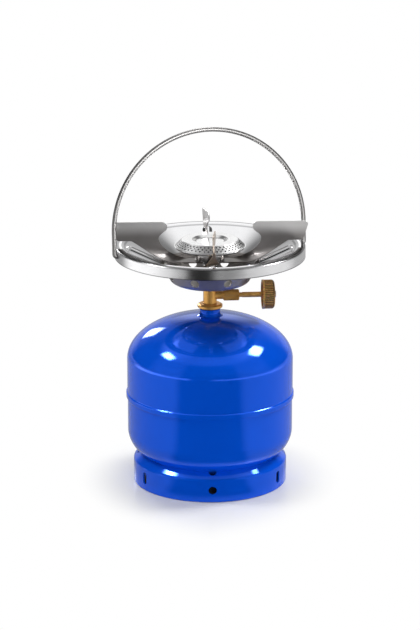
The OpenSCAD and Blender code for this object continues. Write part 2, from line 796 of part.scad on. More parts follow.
// Edges of one support arm as pairs of points, from the flat middle to the top of its head.
// Each pair is the edge that becomes the inner one, then the edge that becomes the lower one.
function arm_edges(mid_z, end_r, head_l, neck, twist, skew) =
    let (half = strip_w / 2)
    let (nose_at = [end_r - head_l + nose, pan_z - nose])
    let (tip_at = [end_r - corner, pan_z - corner])
    let (heel_at = [tip_at[0] - heel_set, head_z + heel])
    let (heel_tilt = atan2(tip_at[0] - heel_at[0], tip_at[1] - heel_at[1]))
    let (middle = end_r - head_l / 2)
    let (neck_in = upright([nose_at[0] + neck_set, head_z + neck_set], middle, skew))
    let (neck_out = upright([end_r - neck, head_z], middle, skew))
    let (inner_turn = [twist[0], half, mid_z])
    let (outer_turn = [twist[1], -half, mid_z])
    let (inner_path = [inner_turn, inner_turn + [twist_pull, 0, 0], neck_in - [0, 0, twist_pull], neck_in])
    let (outer_path = [outer_turn, outer_turn + [twist_pull, 0, 0], neck_out - [twist_pull, 0, twist_drop],
                       neck_out])
    let (nose_from = nose_at + nose * unit([-1, -1]))
    let (inner_rise = concat(
        [for (i = [1 : 5]) cubic([[neck_in[0], neck_in[2]], [neck_in[0], neck_in[2] + nose / 2],
                                  nose_from + nose / 2 * unit([1, -1]), nose_from], i / 6)],
        arc(nose_at, nose, 225, 90, 9)))
    let (outer_rise = concat(
        [for (i = [1 : 4]) [neck_out[0] + (heel_at[0] - neck_out[0]) * i / 5, head_z]],
        arc(heel_at, heel, -90, -heel_tilt, 4),
        arc(tip_at, corner, -heel_tilt, 90, 5)))
    concat(
        [[inner_turn - [cut, 0, 0], outer_turn - [cut, 0, 0]]],
        [for (i = [0 : arm_steps]) [cubic(inner_path, i / arm_steps), cubic(outer_path, i / arm_steps)]],
        [for (i = [0 : len(inner_rise) - 1])
            [upright(inner_rise[i], middle, skew), upright(outer_rise[i], middle, skew)]]);

// One strip with an upright head at each end and a hole for the mixing tube
module pan_support(turn, foot_z, end_r, head_l, neck, twist, skew) {
    arm = arm_edges(foot_z + strip_t / 2, end_r, head_l, neck, twist, skew);
    other = [for (row = backwards(arm)) [for (p = row) [-p[0], p[1], p[2]]]];
    rows = concat(other, arm);
    count = len(rows);
    middles = [for (row = rows) (row[0] + row[1]) / 2];
    normals = [for (i = [0 : count - 1])
        unit(cross(middles[min(i + 1, count - 1)] - middles[max(i - 1, 0)], rows[i][0] - rows[i][1]))];
    points = [for (i = [0 : count - 1]) let (n = strip_t / 2 * normals[i])
        each [rows[i][0] + n, rows[i][1] + n, rows[i][1] - n, rows[i][0] - n]];
    walls = [for (i = [0 : count - 2]) for (k = [0 : 3])
        let (p = 4 * i + k, q = 4 * i + (k + 1) % 4) each [[p, p + 4, q + 4], [p, q + 4, q]]];
    rotate([0, 0, turn]) difference() {
        polyhedron(points, concat(walls, [[0, 1, 2], [0, 2, 3]],
            [for (t = [[2, 1, 0], [3, 2, 0]]) 4 * (count - 1) * [1, 1, 1] + t]));
        translate([0, 0, foot_z - cut]) cylinder(r = tube_neck_r + slip_fit, h = strip_t + 2 * cut);
    }
}

module lower_pan_support() {
    color("gray") pan_support(strip_turn, strip_z, pan_r, pan_head_l, pan_neck, pan_twist, 0);
}

module upper_pan_support() {
    color("gray") pan_support(strip_turn - cross_turn, strip_z + strip_t, short_r, short_head_l, short_neck,
                              short_twist, over_twist);
}

module burner_base() {
    body_top = rim_foot - base_slope;
    floor_top = strip_top + 2 * base_wall;
    collar_r = tube_neck_r + 2 * base_wall;
    collar_top = tube_top - mixing_gap / 2;
    color("lightgray") rotate_extrude()
        polygon([[tube_neck_r + slip_fit, strip_top], [burner_body_r, strip_top], [burner_body_r, body_top],
                 [burner_r - cap_skirt, rim_foot], [burner_r, rim_foot + cap_skirt], [burner_r, cap_foot],
                 [cap_r + slip_fit, cap_foot], [cap_r + slip_fit, cap_foot - cap_skirt],
                 [burner_r - 2 * cap_skirt, cap_foot - cap_skirt],
                 [burner_body_r - base_wall, body_top + base_wall], [burner_body_r - base_wall, floor_top],
                 [collar_r, floor_top], [collar_r, collar_top], [tube_neck_r + slip_fit, collar_top]]);
}

module burner_cap() {
    path = [[cap_r, cap_foot - cap_skirt], [cap_r, cap_foot], [cap_top_r, burner_z], [cup_rim_r, burner_z],
            [cup_floor_r, burner_z - cup_depth], [0, burner_z - cup_depth]];
    color("gainsboro") difference() {
        rotate_extrude() polygon([for (p = sheet(path, cap_t)) [max(p[0], 0), p[1]]]);
        for (row = [1 : port_rows]) for (i = [0 : port_count - 1])
            rotate([0, 0, (i + 0.5 * (row % 2)) * 360 / port_count])
                translate([cap_r + (cap_top_r - cap_r) * row / (port_rows + 1), 0,
                           cap_foot + cone_h * row / (port_rows + 1)])
                    rotate([0, 90 - cone_tilt, 0])
                        cylinder(d = port_d, h = 4 * cap_t, center = true);
    }
}

module bail_handle() {
    pin_end = rim_r - bowl_t - peen_gap - peen_t;
    color("silver") translate([0, 0, pivot_z]) rotate([bail_lean, 0, 0]) {
        translate([0, 0, leg_l]) rotate([90, 0, 0])
            rotate_extrude(angle = 180) translate([bail_x, 0]) circle(r = wire_r, $fn = 48);
        for (side = [0, 180]) rotate([0, 0, side]) {
            translate([bail_x, 0, 0]) cylinder(r = wire_r, h = leg_l);
            translate([bail_x, 0, 0]) sphere(r = wire_r);
            translate([pin_end, 0, 0]) rotate([0, 90, 0]) cylinder(r = wire_r, h = bail_x - pin_end);
            translate([pin_end, 0, 0]) rotate([0, 90, 0]) cylinder(r = peen_r, h = peen_t);
        }
    }
}

foot_ring();
lower_shell();
upper_shell();
neck_boss();
check_valve();
check_pin();
check_disc();
check_spring();
spring_keeper();
neck_washer();
valve_body();
seat_pad();
spindle();
packing_ring();
bonnet();
control_knob();
knob_screw();
gas_jet();
bowl();
bowl_nut();
mixing_tube();
lower_pan_support();
upper_pan_support();
burner_base();
burner_cap();
bail_handle();
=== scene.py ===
"""Looks of a single-burner gas stove on a blue refillable bottle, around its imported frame."""
import json
import math

import bmesh
import bpy
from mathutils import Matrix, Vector


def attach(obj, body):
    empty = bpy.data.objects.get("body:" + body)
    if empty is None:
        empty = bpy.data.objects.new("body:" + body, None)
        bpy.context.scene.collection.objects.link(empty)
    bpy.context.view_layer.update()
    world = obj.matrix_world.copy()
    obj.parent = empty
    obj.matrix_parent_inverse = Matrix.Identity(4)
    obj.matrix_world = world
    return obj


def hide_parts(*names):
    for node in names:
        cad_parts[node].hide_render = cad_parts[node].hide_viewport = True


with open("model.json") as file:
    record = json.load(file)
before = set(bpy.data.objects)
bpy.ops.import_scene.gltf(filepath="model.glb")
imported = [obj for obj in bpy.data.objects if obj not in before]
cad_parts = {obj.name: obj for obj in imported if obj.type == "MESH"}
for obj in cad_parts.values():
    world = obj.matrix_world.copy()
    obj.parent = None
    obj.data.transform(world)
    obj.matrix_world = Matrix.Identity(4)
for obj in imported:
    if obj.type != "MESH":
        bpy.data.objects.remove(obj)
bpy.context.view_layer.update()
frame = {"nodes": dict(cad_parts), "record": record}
nodes = frame["nodes"]

# Lengths are in metres and angles in degrees where nothing else is said. A pair of places is where a fade
# starts and ends, or the two limits of a stretch. RADII in a name are distances from the bottle's axis.

# Photograph's view, with its azimuth from the front and positive to the right
VIEW_AZIMUTH = -16.0
VIEW_ELEVATION = 16.2
VIEW_DISTANCE = 3.59
VIEW_AIM_Z = 0.212
LENS_MM = 165.7
CLIP_END = 50.0

# Part of a noise's range in which most of its values lie
NOISE_LOW = 0.3
NOISE_HIGH = 0.7

# Inner wall of the foot ring, painted near black as shade: radii, and height of its top
FOOT_RADII = (0.0860, 0.0934)
FOOT_TOP = 0.0290

# Knob: azimuth of its axis from +X, height of the axis, radius and depth of the rim, and the depths between
# which painted shade darkens its grooves
KNOB_AZIMUTH = -12.0
KNOB_Z = 0.2375
KNOB_RADIUS = 0.018
KNOB_RIM_DEPTH = 0.0014
KNOB_GROOVE_SHADE_DEPTHS = (0.0005, 0.0001)

# Bonnet round the knob's axis: stretch along it, distances of the skin from it, lines of the knurl each way,
# and the distance at which they slant by 45 degrees
BONNET_STRETCH = (0.0173, 0.0352)
BONNET_SKIN = (0.0062, 0.0072)
KNURL_STARTS = 18
KNURL_SLANT = 0.007

# Bowl: start of the brushed skirt, the cup under the dish with its painted shade and reflection, and the
# painted dark reflection lines at the rim's bend, round the dish and at the skirt's hem
SKIRT_RADII = (0.1158, 0.1170)
CUP_TOP = 0.2835
CUP_RADIUS = 0.0605
BEND_REFLECTION_INNER = (0.1112, 0.1126)
BEND_REFLECTION_OUTER = (0.1168, 0.1174)
DISH_REFLECTION_INNER = (0.1030, 0.1045)
DISH_REFLECTION_OUTER = (0.1055, 0.1070)
HEM_REFLECTION_HEIGHTS = (0.2889, 0.2900)
# Waves of its brushing per radian round the bowl and per metre of height
BRUSH_ROUND = 3.0
BRUSH_UP = 1300.0

# Pan supports: end of the middle's painted shade, start of the bright heads, front head's painted reflection
MIDDLE_SHADE_RADII = (0.036, 0.060)
HEAD_HEIGHTS = (0.311, 0.327)
FRONT_HEAD_Y = -0.030
FRONT_HEAD_X = (0.020, 0.030)
FRONT_HEAD_REFLECTION = 0.75

# Burner: foot of the perforated cone, its height and its outward normal, then the rise of the base outwards
# and the drop from the cap's top to the base's underside at the axis
CONE_RADIUS = 0.0430
CONE_HEIGHT = 0.0080
CONE_NORMAL = (0.6855, 0.7284)
BASE_RISE = 0.2083
BASE_DROP = 0.01975
# Its hollow, painted near black as shade: radii, and distances from the cone, the cap's top and the base
HOLLOW_RADII = (0.0260, 0.0428)
HOLLOW_UNDER_CONE = 0.0002
HOLLOW_UNDER_TOP = 0.0003
HOLLOW_OVER_BASE = 0.0008
# Its dull band of holes: fade at the inner edge, and outer edge
BAND_INNER = (0.0340, 0.0350)
BAND_OUTER = 0.0431
# Waves of its turned lines per metre outwards and upwards
TURNED_OUT = 2600.0
TURNED_UP = 1400.0

# Bail: half width between its legs, leg, pin's end, bend of the wire, height of the pivots and lean
BAIL_X = 0.12092
BAIL_LEG = 0.0285
PIN_END = 0.1143
WIRE_BEND = 0.0033
BAIL_PIVOT_Z = 0.2955
BAIL_LEAN = math.radians(4.0)
# Its wire, and the peened end of it
WIRE_RADIUS = 0.00275
PEEN_RADIUS = 0.00375
PEEN_LENGTH = 0.0012
PEEN_CHAMFER = 0.0003
# Sides of the wire, steps along half of its arc, and degrees of a step round its bend
WIRE_SIDES = 36
ARC_STEPS = 80
BEND_STEP = 9

# Angle from which an edge is sharp, width of a rounded edge, and distance within which vertices become one
SHARP_ANGLE = math.radians(40)
EDGE_ROUND = 0.0003
WELD_DISTANCE = 2e-6

# Brightness of the studio's walls and ceiling, by degrees away from the camera on either side
WALL_FOOT = [(34, 0.01), (44, 0.28), (80, 0.28), (95, 0.03), (135, 0.03), (150, 0.60)]
WALL_LOW = [(34, 0.01), (44, 0.28), (80, 0.28), (95, 0.03), (135, 0.03), (150, 0.35), (168, 0.50),
            (175, 1.20)]
WALL_HIGH = [(34, 0.01), (44, 0.22), (85, 0.22), (100, 0.03), (135, 0.03), (160, 0.25)]
CEILING = [(50, 0.40), (110, 1.05)]
# Where one passes into the next, as sines of the angle above the horizon
FOOT_TO_LOW = (0.17, 0.24)
LOW_TO_HIGH = (0.36, 0.50)
HIGH_TO_CEILING = (0.68, 0.84)

# Floor: its disc, and its colour's brightness by radius, painted dark as shadow within the foot ring, pale
# outside
FLOOR_RADIUS = 6.0
FLOOR_SIDES = 128
FLOOR_SHADOW_SHADES = [(0.086, 0.05), (0.090, 0.62)]
# Brightness of its cards by degrees round from the camera, positive to the right, close by and further out
NEAR_CARDS = [(-180, 0.45), (-46, 0.45), (-36, 0.01), (36, 0.01), (46, 0.45), (180, 0.45)]
FAR_CARDS = [(-180, 0.4), (-125, 0.3), (-105, 2.3), (-75, 2.3), (-55, 1.6), (-30, 1.3), (-23, 0.03),
             (0, 0.03), (8, 0.9), (14, 1.0), (22, 0.8), (35, 1.2), (60, 1.3), (100, 1.3), (120, 0.5),
             (180, 0.4)]
FAR_START = (0.75, 0.9)
FAR_END = (1.5, 2.0)
# Radii where its shadow fades to white for the camera, how much sooner at the sides, and where cards begin
SHADOW_FADE = (0.125, 0.235)
SHADOW_SIDES = 0.4
CARDS_START = (0.098, 0.125)

# Height at which the lamps aim, and the gain that makes up for the light they lose by fading to their edges
LAMP_AIM_Z = 0.2
FADE_GAIN = 36.0


def view_direction(azimuth, elevation):
    """Unit vector from the object towards a camera or lamp at that azimuth and elevation, in degrees."""
    a = math.radians(azimuth)
    e = math.radians(elevation)
    return Vector((math.sin(a) * math.cos(e), -math.cos(a) * math.cos(e), math.sin(e)))


def aim(looker, azimuth, elevation, distance, height):
    """Sets a camera or lamp that far from a point on the bottle's axis, and turns it to face the point."""
    towards = view_direction(azimuth, elevation)
    looker.location = Vector((0, 0, height)) + distance * towards
    looker.rotation_euler = (-towards).to_track_quat("-Z", "Y").to_euler()


def make_camera():
    """The photograph's camera."""
    data = bpy.data.cameras.new("camera")
    data.lens = LENS_MM
    data.clip_end = CLIP_END
    camera = bpy.data.objects.new("camera", data)
    bpy.context.scene.collection.objects.link(camera)
    aim(camera, VIEW_AZIMUTH, VIEW_ELEVATION, VIEW_DISTANCE, VIEW_AIM_Z)
    bpy.context.scene.camera = camera


class Graph:
    """A node tree, and short ways to add to it."""

    def __init__(self, tree):
        self.tree = tree

    def node(self, kind, **values):
        """A new node with its properties set."""
        made = self.tree.nodes.new(kind)
        for name, value in values.items():
            setattr(made, name, value)
        return made

    def link(self, source, target):
        """Joins an output to an input."""
        self.tree.links.new(source, target)

    def put(self, socket, value):
        """A number or a colour is written on the socket, anything else is linked to it."""
        if isinstance(value, tuple):
            socket.default_value = (*value, 1.0)
        elif isinstance(value, (int, float)):
            socket.default_value = value
        else:
            self.link(value, socket)

    def maths(self, operation, first, second=None):
        """Result of a Math node."""
        made = self.node("ShaderNodeMath", operation=operation)
        self.put(made.inputs[0], first)
        if second is not None:
            self.put(made.inputs[1], second)
        return made.outputs["Value"]

    def product(self, first, *others):
        """All of them multiplied."""
        for other in others:
            first = self.maths("MULTIPLY", first, other)
        return first

    def length(self, first, second):
        """Length of a flat vector with these two parts."""
        square = self.maths("ADD", self.product(first, first), self.product(second, second))
        return self.maths("SQRT", square)

    def between(self, source, low, high):
        """One where the source is between two limits, and nothing elsewhere."""
        return self.product(self.maths("GREATER_THAN", source, low), self.maths("LESS_THAN", source, high))

    def spread(self, source, low, high, start=NOISE_LOW, end=NOISE_HIGH):
        """Goes smoothly from low to high while the source goes from start to end."""
        made = self.node("ShaderNodeMapRange", interpolation_type="SMOOTHSTEP")
        for name, value in (("From Min", start), ("From Max", end), ("To Min", low), ("To Max", high)):
            made.inputs[name].default_value = value
        self.link(source, made.inputs["Value"])
        return made.outputs["Result"]

    def rise(self, source, start, end):
        """Goes smoothly from nothing to one."""
        return self.spread(source, 0.0, 1.0, start, end)

    def fall(self, source, start, end):
        """Goes smoothly from one to nothing."""
        return self.spread(source, 1.0, 0.0, start, end)

    def share(self, source, start, end):
        """Goes evenly from nothing to one."""
        made = self.node("ShaderNodeMapRange")
        made.inputs["From Min"].default_value = start
        made.inputs["From Max"].default_value = end
        self.link(source, made.inputs["Value"])
        return made.outputs["Result"]

    def blend(self, share, first, second):
        """A number between two numbers. A Mix node's sockets go by number, because their names repeat."""
        made = self.node("ShaderNodeMix")
        for index, value in ((0, share), (2, first), (3, second)):
            self.put(made.inputs[index], value)
        return made.outputs[0]

    def tint(self, share, first, second):
        """A colour between two colours."""
        made = self.node("ShaderNodeMix", data_type="RGBA")
        for index, value in ((0, share), (6, first), (7, second)):
            self.put(made.inputs[index], value)
        return made.outputs[2]

    def ramp(self, source, stops):
        """A colour by the source's value, from stops of a position and a colour or a grey."""
        made = self.node("ShaderNodeValToRGB")
        elements = made.color_ramp.elements
        while len(elements) < len(stops):
            elements.new(0.5)
        for element, (position, colour) in zip(elements, stops):
            element.position = position
            element.color = (*colour, 1.0) if isinstance(colour, tuple) else (colour, colour, colour, 1.0)
        self.link(source, made.inputs["Fac"])
        return made.outputs["Color"]

    def mottled(self, source, first, second):
        """A colour that wanders between two with a noise."""
        return self.ramp(source, [(NOISE_LOW, first), (NOISE_HIGH, second)])

    def join(self, x, y, z):
        """A vector from its parts."""
        made = self.node("ShaderNodeCombineXYZ")
        for socket, value in zip(made.inputs, (x, y, z)):
            self.put(socket, value)
        return made.outputs["Vector"]

    def split(self, vector):
        """The three parts of a vector."""
        made = self.node("ShaderNodeSeparateXYZ")
        self.link(vector, made.inputs["Vector"])
        return tuple(made.outputs)

    def turned(self, x, y, heading):
        """Parts of a flat vector along a heading and to the left of it."""
        along = self.maths("ADD", self.product(x, heading.x), self.product(y, heading.y))
        aside = self.maths("SUBTRACT", self.product(y, heading.x), self.product(x, heading.y))
        return along, aside

    def view_angle(self, x, y):
        """Angle of a flat vector round Z in radians, from the photograph's camera."""
        ahead, aside = self.turned(x, y, view_direction(VIEW_AZIMUTH, 0.0))
        return self.maths("ARCTAN2", aside, ahead)


class Shader(Graph):
    """A node material with a Principled shader."""

    def __init__(self, name, **values):
        self.material = bpy.data.materials.new(name)
        self.material.use_nodes = True
        super().__init__(self.material.node_tree)
        self.surface = self.tree.nodes["Principled BSDF"]
        for socket, value in values.items():
            self.put(self.surface.inputs[socket.replace("_", " ")], value)
        self.place = self.node("ShaderNodeTexCoord").outputs["Object"]

    def feed(self, socket, source):
        """Links an output to one of the shader's own sockets."""
        self.link(source, self.surface.inputs[socket])

    def noise(self, scale, detail=3.0, roughness=0.5, vector=None):
        """Noise over the object's own coordinates, or over another vector."""
        made = self.node("ShaderNodeTexNoise")
        made.inputs["Scale"].default_value = scale
        made.inputs["Detail"].default_value = detail
        made.inputs["Roughness"].default_value = roughness
        self.link(vector or self.place, made.inputs["Vector"])
        return made.outputs["Fac"]

    def bump(self, source, strength, distance):
        """Relief from a height."""
        made = self.node("ShaderNodeBump")
        made.inputs["Strength"].default_value = strength
        made.inputs["Distance"].default_value = distance
        self.link(source, made.inputs["Height"])
        self.feed("Normal", made.outputs["Normal"])

    def radius_and_height(self):
        """Distance from the bottle's axis, and height."""
        x, y, z = self.split(self.place)
        return self.length(x, y), z

    def knob_coordinates(self):
        """Place along the knob's axis from the bottle's axis, and places aside from it and above it."""
        x, y, z = self.split(self.place)
        heading = math.radians(KNOB_AZIMUTH)
        along, aside = self.turned(x, y, Vector((math.cos(heading), math.sin(heading))))
        return along, aside, self.maths("SUBTRACT", z, KNOB_Z)


def bottle_paint():
    """Glossy blue with a metallic base, painted near black as shade within the foot ring."""
    shader = Shader("bottle_paint", Metallic=0.35, IOR=1.4, Coat_Weight=0.25, Coat_Roughness=0.03,
                    Specular_Tint=(0.72, 0.85, 1.0))
    radius, height = shader.radius_and_height()
    blue = shader.mottled(shader.noise(9.0), (0.0008, 0.092, 0.75), (0.0010, 0.102, 0.82))
    # Painted shade: the foot ring's inner wall is near black.
    painted_shade_recess = shader.product(shader.between(radius, *FOOT_RADII), shader.maths("LESS_THAN", height, FOOT_TOP))
    shader.feed("Base Color", shader.tint(painted_shade_recess, blue, (0.004, 0.005, 0.010)))
    shader.feed("Roughness", shader.spread(shader.noise(40.0), 0.05, 0.09))
    return shader.material


def brass():
    """Satin brass, with a diamond knurl round the bonnet whose grooves are darkened by painted shade."""
    shader = Shader("brass", Metallic=0.7)
    grain = shader.noise(420.0, detail=5.0, roughness=0.65)
    patches = shader.noise(90.0, detail=4.0, roughness=0.6)
    plain = shader.ramp(patches, [(0.3, (0.66, 0.32, 0.075)), (0.55, (0.88, 0.47, 0.12)),
                                  (0.75, (0.95, 0.54, 0.16))])
    along, aside, up = shader.knob_coordinates()
    bonnet = shader.product(shader.between(along, *BONNET_STRETCH),
                            shader.between(shader.length(up, aside), *BONNET_SKIN))
    around = shader.product(shader.maths("ARCTAN2", up, aside), KNURL_STARTS)
    lead = shader.product(along, KNURL_STARTS / KNURL_SLANT)
    knurl = shader.product(shader.maths("SINE", shader.maths("ADD", around, lead)),
                           shader.maths("SINE", shader.maths("SUBTRACT", around, lead)))
    # Painted shade: the knurl's grooves on the bonnet are darkened.
    groove_shade = shader.product(bonnet, shader.spread(knurl, 0.32, 0.0, start=-0.6, end=0.2))
    shader.feed("Base Color", shader.tint(groove_shade, plain, (0.20, 0.09, 0.02)))
    shader.feed("Roughness", shader.spread(grain, 0.28, 0.44))
    relief = shader.maths("ADD", grain, shader.product(knurl, bonnet))
    shader.bump(relief, strength=0.25, distance=0.0003)
    return shader.material


def bowl_steel():
    """Polished dish with painted reflection lines, brushed skirt, and a cup under it painted dark as shade.
    """
    shader = Shader("bowl_steel", Anisotropic_Rotation=0.25)
    x, y, height = shader.split(shader.place)
    radius = shader.length(x, y)
    skirt = shader.rise(radius, *SKIRT_RADII)
    cup = shader.product(shader.maths("LESS_THAN", height, CUP_TOP),
                         shader.maths("LESS_THAN", radius, CUP_RADIUS))
    turn = shader.product(shader.maths("ARCTAN2", y, x), BRUSH_ROUND)
    strokes = shader.join(turn, 0.0, shader.product(height, BRUSH_UP))
    brush = shader.noise(1.0, roughness=0.6, vector=strokes)
    smudge = shader.noise(28.0, detail=4.0, roughness=0.6)
    polished = shader.blend(cup, shader.spread(smudge, 0.05, 0.11), shader.spread(smudge, 0.28, 0.36))
    shader.feed("Roughness", shader.blend(skirt, polished, shader.spread(brush, 0.27, 0.35)))
    shader.feed("Anisotropic", shader.product(skirt, 0.8))
    tangent = shader.node("ShaderNodeTangent", direction_type="RADIAL", axis="Z")
    shader.feed("Tangent", tangent.outputs["Tangent"])
    plate = shader.mottled(smudge, (0.82, 0.82, 0.83), (0.89, 0.89, 0.90))
    # Painted reflections: dark lines at the rim's bend and round the dish, and at the skirt's hem.
    bend = shader.product(shader.rise(radius, *BEND_REFLECTION_INNER), shader.fall(radius, *BEND_REFLECTION_OUTER))
    ring = shader.product(shader.rise(radius, *DISH_REFLECTION_INNER), shader.fall(radius, *DISH_REFLECTION_OUTER))
    hem = shader.product(skirt, shader.fall(height, *HEM_REFLECTION_HEIGHTS))
    with_dish_reflection = shader.tint(ring, plate, (0.50, 0.50, 0.51))
    with_reflection_lines = shader.tint(shader.maths("MAXIMUM", bend, hem), with_dish_reflection, (0.20, 0.20, 0.205))
    facing_up = shader.split(shader.node("ShaderNodeTexCoord").outputs["Normal"])[2]
    # Painted shade and reflection: the cup is dark, lavender where it faces down and brownish where it faces
    # up.
    cup_shade_and_reflection = shader.tint(shader.rise(facing_up, -0.1, 0.1), (0.27, 0.26, 0.31), (0.24, 0.225, 0.215))
    shader.feed("Base Color", shader.tint(cup, with_reflection_lines, cup_shade_and_reflection))
    shader.feed("Metallic", shader.blend(cup, 1.0, 0.72))
    shader.bump(shader.product(brush, skirt), strength=0.08, distance=0.0002)
    return shader.material


def support_steel():
    """Satin sheet, darker below its heads, with painted shade in the middle and a painted reflection on the
    front head.
    """
    shader = Shader("support_steel", Metallic=0.82)
    x, y, height = shader.split(shader.place)
    cloud = shader.noise(26.0)
    head_tone = shader.mottled(cloud, (0.88, 0.870, 0.862), (0.95, 0.942, 0.935))
    below_head_tone = shader.mottled(cloud, (0.39, 0.368, 0.360), (0.45, 0.428, 0.420))
    # Painted shade: the middle under the burner is near black.
    arm_and_middle_shade = shader.tint(shader.rise(shader.length(x, y), *MIDDLE_SHADE_RADII), (0.13, 0.115, 0.105), below_head_tone)
    steel = shader.tint(shader.rise(height, *HEAD_HEIGHTS), arm_and_middle_shade, head_tone)
    # Painted reflection: the front head is tinted brown.
    middle = shader.fall(shader.maths("ABSOLUTE", x), *FRONT_HEAD_X)
    front = shader.product(shader.maths("LESS_THAN", y, FRONT_HEAD_Y), middle, FRONT_HEAD_REFLECTION)
    shader.feed("Base Color", shader.tint(front, steel, (0.38, 0.29, 0.21)))
    shader.feed("Roughness", shader.spread(shader.noise(60.0, detail=4.0, roughness=0.6), 0.290, 0.305))
    return shader.material


def burner_steel():
    """Bright plate, dull on the band of holes, and painted near black as shade in the burner's hollow."""
    shader = Shader("burner_steel", Metallic=1.0)
    radius, height = shader.radius_and_height()
    lines = shader.join(shader.product(radius, TURNED_OUT), 0.0, shader.product(height, TURNED_UP))
    turned = shader.noise(1.0, detail=2.0, vector=lines)
    top = max(corner[2] for corner in nodes["burner_cap"].bound_box)
    outwards = shader.product(shader.maths("SUBTRACT", radius, CONE_RADIUS), CONE_NORMAL[0])
    upwards = shader.product(shader.maths("SUBTRACT", height, top - CONE_HEIGHT), CONE_NORMAL[1])
    over_cone = shader.maths("ADD", outwards, upwards)
    base = shader.maths("ADD", shader.product(radius, BASE_RISE), top - BASE_DROP)
    over_base = shader.maths("SUBTRACT", height, base)
    # Painted shade: the hollow behind the holes is near black.
    painted_shade_recess = shader.product(shader.maths("LESS_THAN", over_cone, -HOLLOW_UNDER_CONE),
                            shader.maths("LESS_THAN", height, top - HOLLOW_UNDER_TOP),
                            shader.between(radius, *HOLLOW_RADII),
                            shader.maths("GREATER_THAN", over_base, HOLLOW_OVER_BASE))
    band = shader.product(shader.rise(radius, *BAND_INNER), shader.maths("LESS_THAN", radius, BAND_OUTER))
    bright = shader.mottled(shader.noise(60.0), (0.70, 0.70, 0.70), (0.78, 0.78, 0.78))
    plate = shader.tint(band, bright, (0.26, 0.26, 0.26))
    shader.feed("Base Color", shader.tint(painted_shade_recess, plate, (0.014, 0.012, 0.011)))
    outside = shader.blend(band, shader.spread(turned, 0.10, 0.18), shader.spread(turned, 0.46, 0.54))
    shader.feed("Roughness", shader.blend(painted_shade_recess, outside, 0.7))
    shader.bump(turned, strength=0.03, distance=0.0002)
    return shader.material


def knob_plate():
    """Yellow plate with a play of red and green, with painted shade in the grooves round the rim."""
    shader = Shader("knob_plate", Metallic=0.62)
    aside, up = shader.knob_coordinates()[1:]
    radius = shader.length(up, aside)
    rim = shader.maths("GREATER_THAN", radius, KNOB_RADIUS - KNOB_RIM_DEPTH)
    deep, shallow = KNOB_GROOVE_SHADE_DEPTHS
    # Painted shade: darker deeper in the grooves round the rim.
    groove_shade = shader.product(rim, shader.fall(radius, KNOB_RADIUS - deep, KNOB_RADIUS - shallow))
    cloud = shader.noise(190.0, roughness=0.6)
    plate = shader.ramp(cloud, [(0.28, (0.44, 0.16, 0.08)), (0.40, (0.82, 0.40, 0.12)),
                                (0.50, (0.60, 0.42, 0.12)), (0.60, (0.95, 0.49, 0.16)),
                                (0.72, (0.84, 0.30, 0.26))])
    shader.feed("Base Color", shader.tint(groove_shade, plate, (0.07, 0.04, 0.02)))
    shader.feed("Roughness", shader.spread(shader.noise(600.0, detail=4.0, roughness=0.6), 0.26, 0.42))
    return shader.material


def wire_steel():
    """Drawn wire with a satin gloss that darkens towards its edges."""
    shader = Shader("wire_steel", Metallic=1.0, Specular_Tint=(0.02, 0.02, 0.02))
    drawn = shader.noise(160.0)
    shader.feed("Base Color", shader.mottled(drawn, (0.25, 0.245, 0.242), (0.28, 0.275, 0.272)))
    shader.feed("Roughness", shader.spread(drawn, 0.44, 0.48))
    return shader.material


def plain_steel():
    """Zinc-plated steel with a fine grain."""
    shader = Shader("plain_steel", Metallic=1.0)
    grain = shader.noise(700.0, detail=4.0, roughness=0.6)
    shader.feed("Base Color", shader.mottled(grain, (0.48, 0.48, 0.49), (0.62, 0.62, 0.63)))
    shader.feed("Roughness", shader.spread(grain, 0.25, 0.4))
    return shader.material


def seal_rubber():
    """Black rubber with a fine grain."""
    shader = Shader("seal_rubber")
    grain = shader.noise(800.0, roughness=0.6)
    shader.feed("Base Color", shader.mottled(grain, (0.012, 0.012, 0.013), (0.03, 0.03, 0.032)))
    shader.feed("Roughness", shader.spread(grain, 0.5, 0.75))
    return shader.material


MATERIALS = {make.__name__: make() for make in (bottle_paint, brass, bowl_steel, support_steel, burner_steel,
                                                knob_plate, wire_steel, plain_steel, seal_rubber)}


def dress_frame():
    """Every carried-over node takes the material of its slot."""
    for row in frame["record"]["subparts"]:
        made = nodes[row["node"]]
        made.data.materials.clear()
        made.data.materials.append(MATERIALS[row["material_slot"]])


def smooth_piece(work, mesh, slot):
    """A new object from a bmesh that is written to the mesh and freed, smooth up to its sharp edges."""
    work.to_mesh(mesh)
    work.free()
    mesh.polygons.foreach_set("use_smooth", [True] * len(mesh.polygons))
    mesh.set_sharp_from_angle(angle=SHARP_ANGLE)
    mesh.materials.append(MATERIALS[slot])
    piece = bpy.data.objects.new(mesh.name, mesh)
    bpy.context.scene.collection.objects.link(piece)
    return piece


def even_copy(name, body, slot):
    """A node's own mesh, shaded evenly with slightly rounded edges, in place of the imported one."""
    packed = nodes[name]
    places = [packed.matrix_world @ vertex.co for vertex in packed.data.vertices]
    mesh = bpy.data.meshes.new(f"even_{name}")
    mesh.from_pydata(places, [], [list(face.vertices) for face in packed.data.polygons])
    work = bmesh.new()
    work.from_mesh(mesh)
    bmesh.ops.remove_doubles(work, verts=work.verts, dist=WELD_DISTANCE)
    bmesh.ops.recalc_face_normals(work, faces=work.faces)
    piece = smooth_piece(work, mesh, slot)
    edge = piece.modifiers.new("rounded_edges", "BEVEL")
    edge.width = EDGE_ROUND
    edge.segments = 2
    edge.limit_method = "ANGLE"
    edge.angle_limit = SHARP_ANGLE
    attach(piece, body)
    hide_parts(name)


